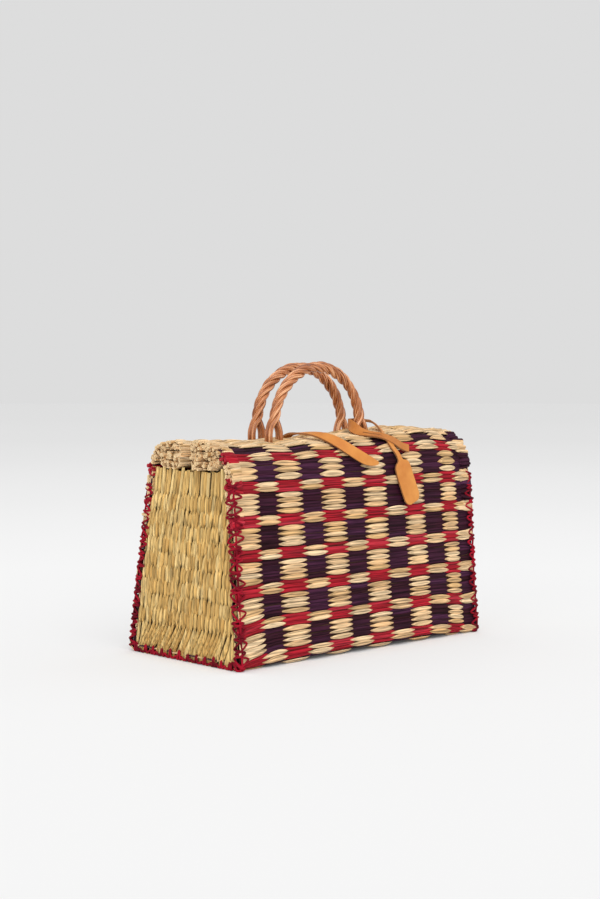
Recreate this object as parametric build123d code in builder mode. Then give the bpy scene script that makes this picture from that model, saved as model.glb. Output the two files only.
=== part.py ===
from build123d import *
from math import copysign, cos, pi, sin, sqrt
import os

# A woven rush basket with a folding top: one long mat of rush makes the back
# flap, back, bottom, front and front flap, and two small mats close the ends.
# X runs along the bag, the front faces -Y, and the bag stands on Z = 0.

# Body
length = 320
bottom_depth = 160
foot_shift = 0.85
fold_height = 183
front_lean = 15.25
back_lean = 32.25
foot_radius = 6
fold_radius = 30

# Mat: a wall of rush with the reeds standing out from it
wall = 4.0
groove = 0.6
relief = 2.0
row_pitch = 10
stagger = 2.5
left_end_column = 27
right_end_column = 18
column_count = 12

# Dyed checks: every third row is red, counted up from the foot of each side
check_rows = 3
front_first_row = 77.5
back_first_row = 82.5
front_red_row = 0
back_red_row = 1
plain_rows = 4

# Rows that the bag stands on
foot_rows = 6
foot_flat = 5

# How finely a bend is cut
bend_step = 5
joint_gap = 0.4

# Flaps, each with its edge rolled under
shoulder_in = 18
shoulder_up = 14
shoulder_radius = 25
ridge_height = 203.5
hem_height = 24.5
front_hem_width = 34
back_hem_width = 24
hem_radius = 5
roll_layer_gap = 4.5
roll_end_gap = 1.5
slit_middle = -4.5
slit_width = 12

# End mats
end_height = 174
end_thickness = 5.0
end_groove = 1.2
end_reed_pitch = 10
end_bands = 7
end_fit = 0.3

# Lacing of the end mats
lace_width = 1.8
lace_thickness = 1.6
lace_pitch = 12.5
lace_reach = 4.5
lace_run = 243

# Twisted handles
handle_span = 113
handle_leg = 7
front_handle_middle = -10.5
back_handle_middle = -4
strand_width = 5.0
strand_gap = 1.1
strand_count = 4
strand_sides = 5
turns = 2.5
runs_per_turn = 8
foot_spread = 15
foot_blend = 20
handle_fit = 0.3

# Leather
strap_width = 12
strap_thickness = 2.0
strap_lift = 0.7
neck_width = 5.0
paddle_width = 20
slit_length = 21
slit_clearance = 0.5

os.makedirs("parts", exist_ok=True)


# Section of the long mat

column_width = (length - left_end_column - right_end_column) / (column_count - 2)
base_y = bottom_depth / 2 - relief
front_hem = slit_middle - slit_width / 2
back_hem = slit_middle + slit_width / 2
hem_bottom = ridge_height - relief - hem_height
roll_height = hem_bottom + wall + roll_layer_gap + wall


def half_path(side, lean, hem_edge, hem_width):
    """Wall line of one half, from the middle of the bottom to the rolled edge."""
    fold = side * (base_y - lean)
    shoulder = fold - side * shoulder_in
    ridge = ridge_height - relief
    turn = hem_edge + side * hem_width
    corners = [
        (0, relief),
        (side * base_y + foot_shift, relief),
        (fold, fold_height),
        (shoulder, fold_height + shoulder_up),
        (hem_edge, ridge),
        (hem_edge, hem_bottom),
        (turn, hem_bottom),
        (turn, roll_height),
        (hem_edge + side * (wall + roll_end_gap), roll_height),
    ]
    roll_radius = (roll_height - hem_bottom) * 0.49
    radii = [foot_radius, fold_radius, shoulder_radius, hem_radius, hem_radius, roll_radius, roll_radius]
    return FilletPolyline(*corners, radius=radii, mode=Mode.PRIVATE)


front_path = half_path(-1, front_lean, front_hem, front_hem_width)
back_path = half_path(1, back_lean, back_hem, back_hem_width)


def at(path, side, distance, height):
    """Point at a distance along the wall line, and a height out from it."""
    point = path.position_at(distance, position_mode=PositionMode.LENGTH)
    along = path.tangent_at(distance, position_mode=PositionMode.LENGTH)
    return (point.X + side * along.Y * height, point.Y - side * along.X * height)


def stations(path, start, end):
    """Distances from start to end, with each joint and steps round each bend."""
    found = [start]
    travelled = 0
    for edge in path.order_edges():
        steps = 1
        if edge.geom_type == GeomType.CIRCLE:
            steps = max(2, round(edge.length / bend_step))
        for step in range(steps):
            distance = travelled + edge.length * step / steps
            if start + joint_gap < distance < end - joint_gap:
                found.append(distance)
        travelled += edge.length
    return found + [end]


def wall_line(path, side, start, end, height):
    return [at(path, side, distance, height) for distance in stations(path, start, end)]


def comb(path, side, start, rows):
    """Outline of neighbouring reeds: a groove, then a peak and a groove for each row."""
    points = [at(path, side, start, groove)]
    for row in range(rows):
        points.append(at(path, side, start + (row + 0.5) * row_pitch, relief))
        points.append(at(path, side, start + (row + 1) * row_pitch, groove))
    return points


def hem_start(path):
    """Distance at which the wall line reaches the foot of the hem."""
    return sum(edge.length for edge in path.order_edges()[:9])


class Side:
    """One half of the mat: its wall line and the rows of reeds along it."""

    def __init__(self, path, side, first_row, red_row):
        self.path = path
        self.side = side
        self.first_row = first_row
        self.red_row = red_row
        self.rows = int((hem_start(path) - first_row - stagger) // row_pitch)

    def fold_end(self):
        """Distance at which the fold at the top of this side ends."""
        return sum(edge.length for edge in self.path.order_edges()[:4])

    def dye(self, row, offset):
        """Colour of a row in the red columns, or in the purple ones that are offset."""
        is_red_row = row % check_rows == self.red_row
        if row >= self.rows - plain_rows:
            return "natural"
        if offset == 0:
            return "red" if is_red_row else "natural"
        return "natural" if is_red_row else "purple"

    def bands(self, offset):
        """Runs of rows of one colour, each as colour, start and row count."""
        runs = []
        for row in range(self.rows):
            colour = self.dye(row, offset)
            if runs and runs[-1][0] == colour:
                runs[-1][2] += 1
            else:
                runs.append([colour, self.first_row + offset + row * row_pitch, 1])
        return runs

    def outer(self, offset):
        """Outer side of the natural reeds and the wall, from the bottom to the rolled end."""
        points = [at(self.path, self.side, foot_flat / 2, relief)]
        for row in range(foot_rows):
            middle = (row + 1) * row_pitch
            points.append(at(self.path, self.side, middle - row_pitch / 2, groove))
            points.append(at(self.path, self.side, middle - foot_flat / 2, relief))
            points.append(at(self.path, self.side, middle + foot_flat / 2, relief))
        foot_end = (foot_rows + 0.5) * row_pitch
        points += wall_line(self.path, self.side, foot_end, self.first_row + offset, groove)[:-1]
        for colour, start, rows in self.bands(offset):
            if colour == "natural":
                points += comb(self.path, self.side, start, rows)
            else:
                points += wall_line(self.path, self.side, start, start + rows * row_pitch, 0)
        last = self.first_row + offset + self.rows * row_pitch
        points += wall_line(self.path, self.side, last, self.path.length, groove)[1:]
        return points

    def inner(self):
        """Inner side of the wall, from the middle of the bottom to the rolled end."""
        return wall_line(self.path, self.side, 0, self.path.length, -wall)[1:]

    def dyed(self, colour, offset):
        """Outline of each group of dyed reeds, lying on the wall."""
        outlines = []
        for band, start, rows in self.bands(offset):
            if band == colour:
                under = wall_line(self.path, self.side, start, start + rows * row_pitch, 0)
                outlines.append(under + comb(self.path, self.side, start, rows)[::-1])
        return outlines


front = Side(front_path, -1, front_first_row, front_red_row)
back = Side(back_path, 1, back_first_row, back_red_row)

column_starts = [-length / 2]
for column in range(column_count - 1):
    column_starts.append(-length / 2 + left_end_column + column * column_width)
column_starts.append(length / 2)
columns = list(zip(column_starts, column_starts[1:]))


# Layout of the handles, whose feet stand behind the turned edge of each flap

arch_radius = handle_span / 2
handle_run = 2 * handle_leg + pi * arch_radius
pair_pitch = strand_width + strand_gap
pair_width = pair_pitch + strand_width
strand_ring = pair_pitch / sqrt(2)
foot_rest = roll_height + groove + handle_fit
slit_bottom = foot_rest + handle_fit
front_handle_depth = front_hem - wall - handle_fit - pair_width / 2
back_handle_depth = back_hem + wall + handle_fit + pair_width / 2

foot_places = []
for middle, depth in (front_handle_middle, front_handle_depth), (back_handle_middle, back_handle_depth):
    for leg in (-arch_radius, arch_radius):
        for foot in (-foot_spread / 2, foot_spread / 2):
            foot_places.append((middle + leg + foot, depth))


# Long mat, with the undyed reeds

with BuildPart() as mat:
    for index, (start, end) in enumerate(columns):
        offset = stagger if index % 2 else 0
        outline = back.outer(offset)[::-1] + front.outer(offset) + front.inner()[::-1] + back.inner()
        with BuildSketch(Plane.YZ.offset(start)):
            with BuildLine():
                Polyline(*outline, close=True)
            make_face()
        extrude(amount=end - start)
    # Slits between the rows, for the feet of the handles
    with BuildSketch(Plane.XY.offset(slit_bottom)):
        with Locations(*foot_places):
            Rectangle(strand_width + 2 * handle_fit, pair_width + 2 * handle_fit)
    extrude(amount=ridge_height, mode=Mode.SUBTRACT)
mat.part.label = "mat"
export_step(mat.part, "parts/mat.step")


# Dyed reeds, where they show on the outside in every other column

def dyed_reeds(colour, offset, first_column):
    with BuildPart() as reeds:
        for start, end in columns[first_column::2]:
            with BuildSketch(Plane.YZ.offset(start)):
                for outline in front.dyed(colour, offset) + back.dyed(colour, offset):
                    with BuildLine():
                        Polyline(*outline, close=True)
                    make_face()
            extrude(amount=end - start)
    reeds.part.label = f"{colour}_reeds"
    export_step(reeds.part, f"parts/{colour}_reeds.step")


dyed_reeds("red", 0, 0)
dyed_reeds("purple", stagger, 1)


# End mats, standing inside the ends of the long mat

def end_section(side, shift):
    """Reeds of an end mat in plan, from front to back."""
    face = side * length / 2
    points = [(face - side * end_thickness, -bottom_depth / 2)]
    reeds = int(bottom_depth // end_reed_pitch) + 2
    for reed in range(reeds):
        start = -bottom_depth / 2 + (reed - 1) * end_reed_pitch + shift
        points.append((face - side * end_groove, start))
        points.append((face, start + end_reed_pitch / 2))
    return points + [(face - side * end_thickness, points[-1][1])]


def end_outline():
    """Inside of the long mat from front to back, with room to slip in."""
    inset = -(wall + end_fit)
    front_line = wall_line(front.path, front.side, 0, front.fold_end(), inset)
    back_line = wall_line(back.path, back.side, 0, back.fold_end(), inset)
    return front_line[:0:-1] + back_line[1:]


def end_mat(name, side):
    inner_face = side * (length / 2 - end_thickness)
    band_height = end_height / end_bands
    with BuildPart() as panel:
        for band in range(end_bands):
            shift = (band % 2) * end_reed_pitch / 2
            with BuildSketch(Plane.XY.offset(band * band_height)):
                with BuildLine():
                    Polyline(*end_section(side, shift), close=True)
                make_face()
            extrude(amount=band_height)
        with BuildSketch(Plane.YZ.offset(inner_face)):
            with BuildLine():
                Polyline(*end_outline(), close=True)
            make_face()
        extrude(amount=side * end_thickness, mode=Mode.INTERSECT)
    panel.part.label = name
    export_step(panel.part, f"parts/{name}.step")


end_mat("left_end_mat", -1)
end_mat("right_end_mat", 1)


# Lacing, one cord in a zigzag over the rim of each end mat

def lacing_points():
    stitches = int(lace_run // (lace_pitch / 2))
    points = []
    for stitch in range(-stitches, stitches + 1):
        half = front if stitch < 0 else back
        height = groove if stitch % 2 else -(wall + lace_reach)
        points.append(at(half.path, half.side, abs(stitch) * lace_pitch / 2, height))
    return points


def lacing(name, side):
    points = [Vector(*point) for point in lacing_points()]
    with BuildPart() as cord:
        with BuildSketch(Plane.YZ.offset(side * length / 2)):
            for start, end in zip(points, points[1:]):
                run = end - start
                middle = (start + end) / 2
                with Locations(Location((middle.X, middle.Y), run.get_signed_angle(Vector(1, 0)))):
                    Rectangle(run.length + lace_width / 2, lace_width)
        extrude(amount=side * lace_thickness)
    cord.part.label = name
    export_step(cord.part, f"parts/{name}.step")


lacing("left_lacing", -1)
lacing("right_lacing", 1)


# Twisted handles, each of four willow strands that part into two feet

def handle_line(run):
    """Middle line of a handle: its place along the bag, its height, and the way out."""
    arc = (run - handle_leg) / arch_radius
    if arc < 0:
        return -arch_radius, run, (-1, 0)
    if arc > pi:
        return arch_radius, handle_run - run, (1, 0)
    out = (-cos(arc), sin(arc))
    return arch_radius * out[0], handle_leg + arch_radius * out[1], out


def twist(strand, turned):
    """Place of a strand in the bundle, outward and in depth."""
    angle = 2 * pi * ((strand + 0.5) / strand_count - turned)
    return strand_ring * cos(angle), strand_ring * sin(angle)


def strand_points(strand, middle, depth):
    steps = round(turns * runs_per_turn) + 4
    points = []
    for step in range(steps + 1):
        run = handle_run * step / steps
        along, height, out = handle_line(run)
        foot = twist(strand, 0 if step < steps / 2 else turns)
        parted = max(0, 1 - min(run, handle_run - run) / foot_blend)
        twisted = (run - foot_blend / 2) / (handle_run - foot_blend)
        place = twist(strand, turns * min(max(twisted, 0), 1))
        outward = copysign(foot_spread / 2, foot[0]) * parted + place[0] * (1 - parted)
        deep = copysign(pair_pitch / 2, foot[1]) * parted + place[1] * (1 - parted)
        points.append((middle + along + outward * out[0], depth + deep, ridge_height + height + outward * out[1]))
    first, last = points[0], points[-1]
    return [(first[0], first[1], foot_rest), *points, (last[0], last[1], foot_rest)]


def handle(name, middle, depth):
    for strand in range(strand_count):
        points = strand_points(strand, middle, depth)
        with BuildPart() as rod:
            with BuildLine():
                Polyline(*points)
            with BuildSketch(Plane(origin=points[0], z_dir=(0, 0, 1))):
                RegularPolygon(radius=strand_width / 2, side_count=strand_sides)
            sweep(transition=Transition.RIGHT)
        rod.part.label = f"{name}_strand_{strand + 1}"
        export_step(rod.part, f"parts/{rod.part.label}.step")


handle("front_handle", front_handle_middle, front_handle_depth)
handle("back_handle", back_handle_middle, back_handle_depth)


# Leather straps: strips cut from one hide, laid over the front flap

def on_front(x, distance, lift):
    """Middle of a strip lying on the front half of the mat, and the way its face looks."""
    height = relief + lift + strap_thickness / 2
    lower = Vector(x, *at(front.path, front.side, distance, height))
    upper = Vector(x, *at(front.path, front.side, distance, height + 1))
    return lower, upper - lower


def ribbon(stations, widths):
    """Strip of leather lofted through stations, each a place and the way its face looks."""
    places = [place for place, face in stations]
    with BuildPart() as strip:
        for index, (place, face) in enumerate(stations):
            ahead = places[min(index + 1, len(places) - 1)] - places[max(index - 1, 0)]
            with BuildSketch(Plane(origin=place, x_dir=ahead.cross(face), z_dir=ahead)):
                Rectangle(widths[index], strap_thickness)
        loft(ruled=True)
    return strip


# Closing strap, up through the slit between the flaps and down over the front

slit_floor = Vector(-41, slit_middle + 1, hem_bottom + 8)
slit_mouth = Vector(-41, slit_middle, ridge_height - 8)
over_edge = Vector(-39, front_hem + 2, ridge_height + 0.5)
closing_route = [
    (slit_floor, Vector(0, 1, 0)),
    (slit_mouth, Vector(0, 1, 0)),
    (over_edge, Vector(0, 0.7, 0.7)),
    on_front(-35, 298, strap_lift),
    on_front(-28, 291, strap_lift),
    on_front(-19, 284, strap_lift),
    on_front(-10, 276, strap_lift),
    on_front(-2, 268, strap_lift),
    on_front(6, 260, strap_lift + 0.6),
    on_front(13, 252, strap_lift + 1.2),
    on_front(18, 244, strap_lift + 1.2),
]
closing_strap = ribbon(closing_route, [strap_width] * len(closing_route))
closing_strap.part.label = "closing_strap"
export_step(closing_strap.part, "parts/closing_strap.step")


# Tag strap, looped round a leg of the front handle and back through its own slit

leg_x = front_handle_middle + arch_radius
leg_y = front_handle_depth
loop_height = ridge_height + strap_width / 2 + 1.5


def round_leg(x, y, rise, face):
    return Vector(leg_x + x, leg_y + y, loop_height + rise), Vector(*face)


crossing, crossing_face = on_front(51, 274, 3.5)
tail_end, tail_face = on_front(69, 263, 3.0)
tail_way = (tail_end - crossing).normalized()
slit_way = crossing_face.cross(tail_way)

loop_route = [
    (tail_end, tail_face),
    (crossing, crossing_face),
    (on_front(42, 283, 3.5)[0], Vector(-0.3, -0.5, 0.8)),
    round_leg(-12.5, -9, -1.5, (-0.8, -0.5, 0.3)),
    round_leg(-13.5, 1, 0, (-1, 0.1, 0)),
    round_leg(-9, 9, 0.5, (-0.7, 0.7, 0)),
    round_leg(1, 11, 1, (0, 1, 0)),
    round_leg(10, 7, 1, (0.7, 0.7, 0)),
    round_leg(14, -2, 0.5, (1, 0, 0)),
    round_leg(12, -12, 0, (0.9, -0.2, 0.2)),
]
neck_above = crossing + crossing_face * 4.5 - tail_way * 3.5
neck_below = crossing - crossing_face * 2 + tail_way * 2.5
neck_route = [
    loop_route[-1],
    (neck_above, slit_way),
    (crossing, slit_way),
    (neck_below, slit_way - crossing_face * 0.3),
    on_front(54.5, 262, strap_lift + 1.4),
    on_front(55, 256, strap_lift + 1.4),
    on_front(56, 250, strap_lift + 1.2),
    on_front(58, 243, strap_lift + 0.8),
]
paddle_route = [
    on_front(57.5, 247, strap_lift + 0.8),
    on_front(58.5, 243, strap_lift + 0.8),
    on_front(61, 232, strap_lift + 0.8),
    on_front(69, 213, strap_lift + 0.8),
    on_front(71, 208, strap_lift + 0.8),
]
loop = ribbon(loop_route, [strap_width] * 9 + [neck_width + 2])
neck = ribbon(neck_route, [neck_width + 2] + [neck_width] * 7)
paddle = ribbon(paddle_route, [neck_width, paddle_width - 2, paddle_width, paddle_width, paddle_width - 6])

with BuildPart() as tag_strap:
    add(loop.part)
    with BuildSketch(Plane(origin=crossing, x_dir=tail_way, z_dir=crossing_face)):
        Rectangle(slit_length, strap_thickness + 2 * slit_clearance)
    extrude(amount=strap_thickness, both=True, mode=Mode.SUBTRACT)
    add(neck.part)
    add(paddle.part)
tag_strap.part.label = "tag_strap"
export_step(tag_strap.part, "parts/tag_strap.step")
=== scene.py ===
import math
import bpy
import numpy as np
from mathutils import Matrix, Vector


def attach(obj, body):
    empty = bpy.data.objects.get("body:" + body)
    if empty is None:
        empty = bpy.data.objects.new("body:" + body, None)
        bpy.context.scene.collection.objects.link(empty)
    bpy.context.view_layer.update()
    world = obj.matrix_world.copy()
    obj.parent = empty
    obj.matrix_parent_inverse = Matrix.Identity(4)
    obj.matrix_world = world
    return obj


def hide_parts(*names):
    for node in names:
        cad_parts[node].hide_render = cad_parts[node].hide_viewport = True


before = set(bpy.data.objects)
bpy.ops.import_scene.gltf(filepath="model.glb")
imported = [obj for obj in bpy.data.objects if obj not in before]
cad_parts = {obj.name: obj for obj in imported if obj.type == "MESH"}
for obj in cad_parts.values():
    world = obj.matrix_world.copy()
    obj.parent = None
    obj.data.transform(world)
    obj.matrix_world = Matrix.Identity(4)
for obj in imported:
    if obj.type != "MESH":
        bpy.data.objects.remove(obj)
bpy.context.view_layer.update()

# The studio: a pale floor that greys with distance, a light grey background,
# one broad lamp from the front left, a low one from the left, weak ones from
# the right and the back, and the camera where the photograph was taken from.

camera_turn = math.radians(43.672)
camera_tilt = math.radians(2.0)
camera_place = (-0.98189, -1.012808, 0.236931)
ahead = Vector((
    math.sin(camera_turn) * math.cos(camera_tilt), math.cos(camera_turn) * math.cos(camera_tilt),
    -math.sin(camera_tilt),
))
right = Vector((math.cos(camera_turn), -math.sin(camera_turn), 0))
above = right.cross(ahead)
camera = bpy.data.objects.new("camera", bpy.data.cameras.new("camera"))
camera.data.lens = 57.869
camera.data.sensor_width = 36
camera.data.clip_end = 200
camera.matrix_world = Matrix((
    (right.x, above.x, -ahead.x, camera_place[0]),
    (right.y, above.y, -ahead.y, camera_place[1]),
    (right.z, above.z, -ahead.z, camera_place[2]),
    (0, 0, 0, 1),
))
bpy.context.collection.objects.link(camera)
bpy.context.scene.camera = camera
bpy.context.scene.view_settings.view_transform = "Standard"


def worked_out(tree, operation, *values):
    """Math node in a node tree, fed with numbers or with other nodes' outputs."""
    node = tree.nodes.new("ShaderNodeMath")
    node.operation = operation
    for socket, value in zip(node.inputs, values):
        if isinstance(value, bpy.types.NodeSocket):
            tree.links.new(value, socket)
        else:
            socket.default_value = value
    return node.outputs[0]


def shows_studio(tree):
    """1 for the rays that show the studio itself: straight on, in a gloss or through glass."""
    ray = tree.nodes.new("ShaderNodeLightPath")
    looked_at = worked_out(tree, "MAXIMUM", ray.outputs["Is Camera Ray"], ray.outputs["Is Glossy Ray"])
    return worked_out(tree, "MAXIMUM", looked_at, ray.outputs["Is Transmission Ray"])


def new_material(name):
    """Material with its node tree's nodes and links."""
    material = bpy.data.materials.new(name)
    material.use_nodes = True
    return material, material.node_tree.nodes, material.node_tree.links


def put_out(name, mesh):
    """Object of a mesh, set out in the scene."""
    piece = bpy.data.objects.new(name, mesh)
    bpy.context.collection.objects.link(piece)
    return piece


world_light = 0.62
background_grey = (0.723, 0.723, 0.723, 1)
world = bpy.data.worlds.new("studio")
bpy.context.scene.world = world
world.use_nodes = True
sky = world.node_tree.nodes
sky_links = world.node_tree.links
plain = sky["Background"]
plain.inputs["Color"].default_value = (1, 1, 1, 1)
plain.inputs["Strength"].default_value = world_light
grey = sky.new("ShaderNodeBackground")
grey.inputs["Color"].default_value = background_grey
either = sky.new("ShaderNodeMixShader")
sky_links.new(shows_studio(world.node_tree), either.inputs["Fac"])
sky_links.new(plain.outputs[0], either.inputs[1])
sky_links.new(grey.outputs[0], either.inputs[2])
sky_links.new(either.outputs[0], sky["World Output"].inputs["Surface"])

for lamp_name, strength, spread, toward in [
    ("front_left_lamp", 1.45, 50, (0.30, 0.72, -0.75)),
    ("left_lamp", 0.7, 40, (0.85, 0.32, -0.25)),
    ("right_lamp", 0.35, 60, (-0.8, 0.35, -0.6)),
    ("back_lamp", 0.35, 45, (0.12, -0.55, -0.83)),
]:
    lamp = bpy.data.objects.new(lamp_name, bpy.data.lights.new(lamp_name, "SUN"))
    lamp.data.energy = strength
    lamp.data.angle = math.radians(spread)
    lamp.rotation_euler = Vector(toward).to_track_quat("-Z", "Y").to_euler()
    bpy.context.collection.objects.link(lamp)

floor_half = 60
floor_greys = (
    (0.0117, 0.875), (0.033, 0.812), (0.07, 0.752), (0.115, 0.720), (0.267, 0.700), (0.517, 0.697),
    (1.0, 0.695),
)
bag_foot = {"X": 0.320, "Y": 0.158}
shadow_reach = 0.03
least_even_light, most_even_light = 0.05, 0.62
floor_mesh = bpy.data.meshes.new("floor")
floor_corners = [(floor_half * i, floor_half * j, 0) for i, j in ((-1, -1), (1, -1), (1, 1), (-1, 1))]
floor_mesh.from_pydata(floor_corners, [], [(0, 1, 2, 3)])
floor = put_out("floor", floor_mesh)
paper, nodes, links = new_material("pale_floor")
surface = nodes["Principled BSDF"]
surface.inputs["Roughness"].default_value = 0.9
surface.inputs["Specular IOR Level"].default_value = 0.1
place = nodes.new("ShaderNodeTexCoord")
far = nodes.new("ShaderNodeVectorMath")
far.operation = "LENGTH"
links.new(place.outputs["Object"], far.inputs[0])
tint = nodes.new("ShaderNodeValToRGB")
links.new(worked_out(paper.node_tree, "DIVIDE", far.outputs["Value"], floor_half), tint.inputs["Fac"])
stops = tint.color_ramp.elements
for stop, (reach, grey_level) in zip((stops[0], stops[1]), (floor_greys[0], floor_greys[-1])):
    stop.position = reach
    stop.color = (grey_level, grey_level, grey_level, 1)
for reach, grey_level in floor_greys[1:-1]:
    stops.new(reach).color = (grey_level, grey_level, grey_level, 1)
apart = nodes.new("ShaderNodeSeparateXYZ")
links.new(place.outputs["Object"], apart.inputs[0])
past_foot = []
for way, size in bag_foot.items():
    either_side = worked_out(paper.node_tree, "ABSOLUTE", apart.outputs[way])
    past_foot.append(worked_out(paper.node_tree, "SUBTRACT", either_side, size / 2))
even_light = nodes.new("ShaderNodeMapRange")
even_light.inputs["From Max"].default_value = shadow_reach
even_light.inputs["To Min"].default_value = least_even_light
even_light.inputs["To Max"].default_value = most_even_light
links.new(worked_out(paper.node_tree, "MAXIMUM", *past_foot), even_light.inputs["Value"])
evenly_lit = nodes.new("ShaderNodeEmission")
shadowed = nodes.new("ShaderNodeMixShader")
even_share = worked_out(
    paper.node_tree, "MULTIPLY", shows_studio(paper.node_tree), even_light.outputs["Result"],
)
links.new(tint.outputs["Color"], evenly_lit.inputs["Color"])
links.new(tint.outputs["Color"], surface.inputs["Base Color"])
links.new(even_share, shadowed.inputs["Fac"])
links.new(surface.outputs[0], shadowed.inputs[1])
links.new(evenly_lit.outputs[0], shadowed.inputs[2])
links.new(shadowed.outputs[0], nodes["Material Output"].inputs["Surface"])
floor_mesh.materials.append(paper)

# The long mat: rush laid side by side over strings, one piece that is folded
# into back flap, back, bottom, front and front flap, with both edges rolled
# under. Each reed shows over one column and is hidden behind the next.


def rounded(corners, radii):
    """Line through the corners, each rounded with its radius."""
    line = [np.array(corners[0], float)]
    for before, corner, after, radius in zip(corners, corners[1:], corners[2:], radii):
        before, corner, after = (np.array(p, float) for p in (before, corner, after))
        back_way = (before - corner) / np.linalg.norm(before - corner)
        on_way = (after - corner) / np.linalg.norm(after - corner)
        half_angle = math.acos(np.clip(back_way @ on_way, -1, 1)) / 2
        reach = radius / math.tan(half_angle)
        half_way = (back_way + on_way) / np.linalg.norm(back_way + on_way)
        middle = corner + half_way * radius / math.sin(half_angle)
        start = corner + back_way * reach - middle
        sweep = math.pi - 2 * half_angle
        sign = np.sign(start[1] * back_way[0] - start[0] * back_way[1])
        for angle in np.linspace(0, sweep, max(4, int(radius * sweep / 0.8))):
            c, s = math.cos(angle), math.sin(angle) * sign
            line.append(middle + (c * start[0] - s * start[1], s * start[0] + c * start[1]))
    line.append(np.array(corners[-1], float))
    return line


half_foot, foot_shift = 78, 0.85
middle_of_wall = 2
fold_z, shoulder_z, flap_z = 183, 197, 201.5
roll_z, roll_end_z, roll_gap = 177, 189.5, 5.5
bend_radii = [6, 30, 25, 5, 5, 6.1, 6.1]


def half_line(side, fold, shoulder, hem, hem_width):
    """Middle line of half the mat, across the bag and up: bottom, wall, flap and rolled edge."""
    turn_in = hem + side * hem_width
    corners = [
        (0, middle_of_wall), (side * half_foot + foot_shift, middle_of_wall), (fold, fold_z),
        (shoulder, shoulder_z), (hem, flap_z), (hem, roll_z), (turn_in, roll_z),
        (turn_in, roll_end_z), (hem + side * roll_gap, roll_end_z),
    ]
    return rounded(corners, bend_radii)


front_line = half_line(-1, -62.75, -44.75, -10.5, 34)
back_line = half_line(1, 45.75, 27.75, 1.5, 24)
corners_of_line = np.array(back_line[:0:-1] + front_line)
measured = np.concatenate(([0], np.cumsum(np.linalg.norm(np.diff(corners_of_line, axis=0), axis=1))))
measured -= measured[len(back_line) - 1]
run = np.linspace(measured[0], measured[-1], 1600)
line = np.stack([np.interp(run, measured, corners_of_line[:, k]) for k in (0, 1)], axis=-1)
way = np.gradient(line, run, axis=0)
way /= np.linalg.norm(way, axis=1)[:, None]
mat_ends = run[0], run[-1]
stitch_pitch = 12.5
laced_from, laced_to_s = 146, 244
lowest_z = 0.15
flap_x = [-160, -70, -20, 30, 75, 100, 130, 160]
flap_rise = [-4, -4.2, -2, 1.5, 5, 6.5, 5.5, 3]


def ease(value):
    """Smooth step from 0 to 1."""
    value = np.clip(value, 0, 1)
    return value * value * (3 - 2 * value)


def on_mat(x, s, out):
    """Point of the mat in metres, from millimetres.

    x is along the bag, s round it from the middle of the bottom, with the
    front above 0, and out is the height over the mat's middle line.
    """
    # at its laced ends the rush is drawn together between the stitches
    laced = ease((np.abs(x) - laced_from) / 14) * (np.abs(s) < laced_to_s)
    s = s + laced * 0.32 * ((np.floor(s / stitch_pitch) + 0.5) * stitch_pitch - s)
    # the front's rows dip towards both ends
    drawn_down = 6 * ease((-112 - x) / 48) + 5 * ease((x - 90) / 60)
    s = s - drawn_down * ease(1 - np.abs(s - 92) / 70)
    y = np.interp(s, run, line[:, 0]) - np.interp(s, run, way[:, 1]) * out
    z = np.interp(s, run, line[:, 1]) + np.interp(s, run, way[:, 0]) * out
    # the flaps rise to the right, wave a little, and gape at both ends
    top = np.clip((z - 172) / 28, 0, 1)
    z = z + top * np.interp(x, flap_x, flap_rise)
    z = z + top * 0.7 * np.sin(x * 0.115 + 1)
    gape = ease((-55 - x) / 105) + 0.6 * ease((x - 70) / 90)
    y = y + gape * ease((np.abs(s) - 245) / 45) * np.where(s > 0, -3.0, 4.5)
    # the foot arches up in the middle, and the walls aren't quite flat
    low = np.clip(1 - z / 45, 0, 1)
    z = z + 1.8 * low * low * np.clip(1 - ((x - 15) / 135) ** 2, 0, 1)
    y = y + 0.8 * np.sin(x * 0.041 + 0.6) * np.sin(z * 0.033)
    return np.stack((np.broadcast_to(x, y.shape), y, np.maximum(z, lowest_z)), axis=-1) / 1000


stem_chances = [0.3, 0.35, 0.35]
two_stem_fold, three_stem_fold = 0.45, 0.55


def stem_folds(chance, count, sides, fluted):
    """Height round each reed: of one stem, or of two or three with folds between them."""
    stems = np.ones((3, sides))
    middle = sides // 2
    if fluted:
        stems[1, middle] = two_stem_fold
        stems[2, middle - 2] = stems[2, middle + 2] = three_stem_fold
    return stems[chance.choice(3, count, p=stem_chances)][:, None, :]


def cut_caps(grid, tone, end, next_ring, cut_here, start):
    """Caps over the reeds' cut ends, each with its middle sunk a little, numbered from start."""
    sides = grid.shape[2]
    rings = grid[cut_here, end]
    centre = rings.mean(axis=1, keepdims=True)
    inward = (grid[cut_here, next_ring] - rings).mean(axis=1, keepdims=True)
    points = np.concatenate((rings, centre + inward * 0.15), axis=1)
    tones = np.ones((len(rings), sides + 1, 4))
    tones[..., 0] = tone[cut_here, end, 0, 0][:, None]
    tones[..., 1] = 0
    tones[..., 2] = 1
    tones[:, -1, 2] = 2
    faces = []
    for ring in (start + np.arange(len(rings) * (sides + 1)).reshape(-1, sides + 1)).tolist():
        faces += [(ring[k], ring[(k + 1) % sides], ring[-1]) for k in range(sides)]
    return points.reshape(-1, 3), tones.reshape(-1, 4), faces


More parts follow.
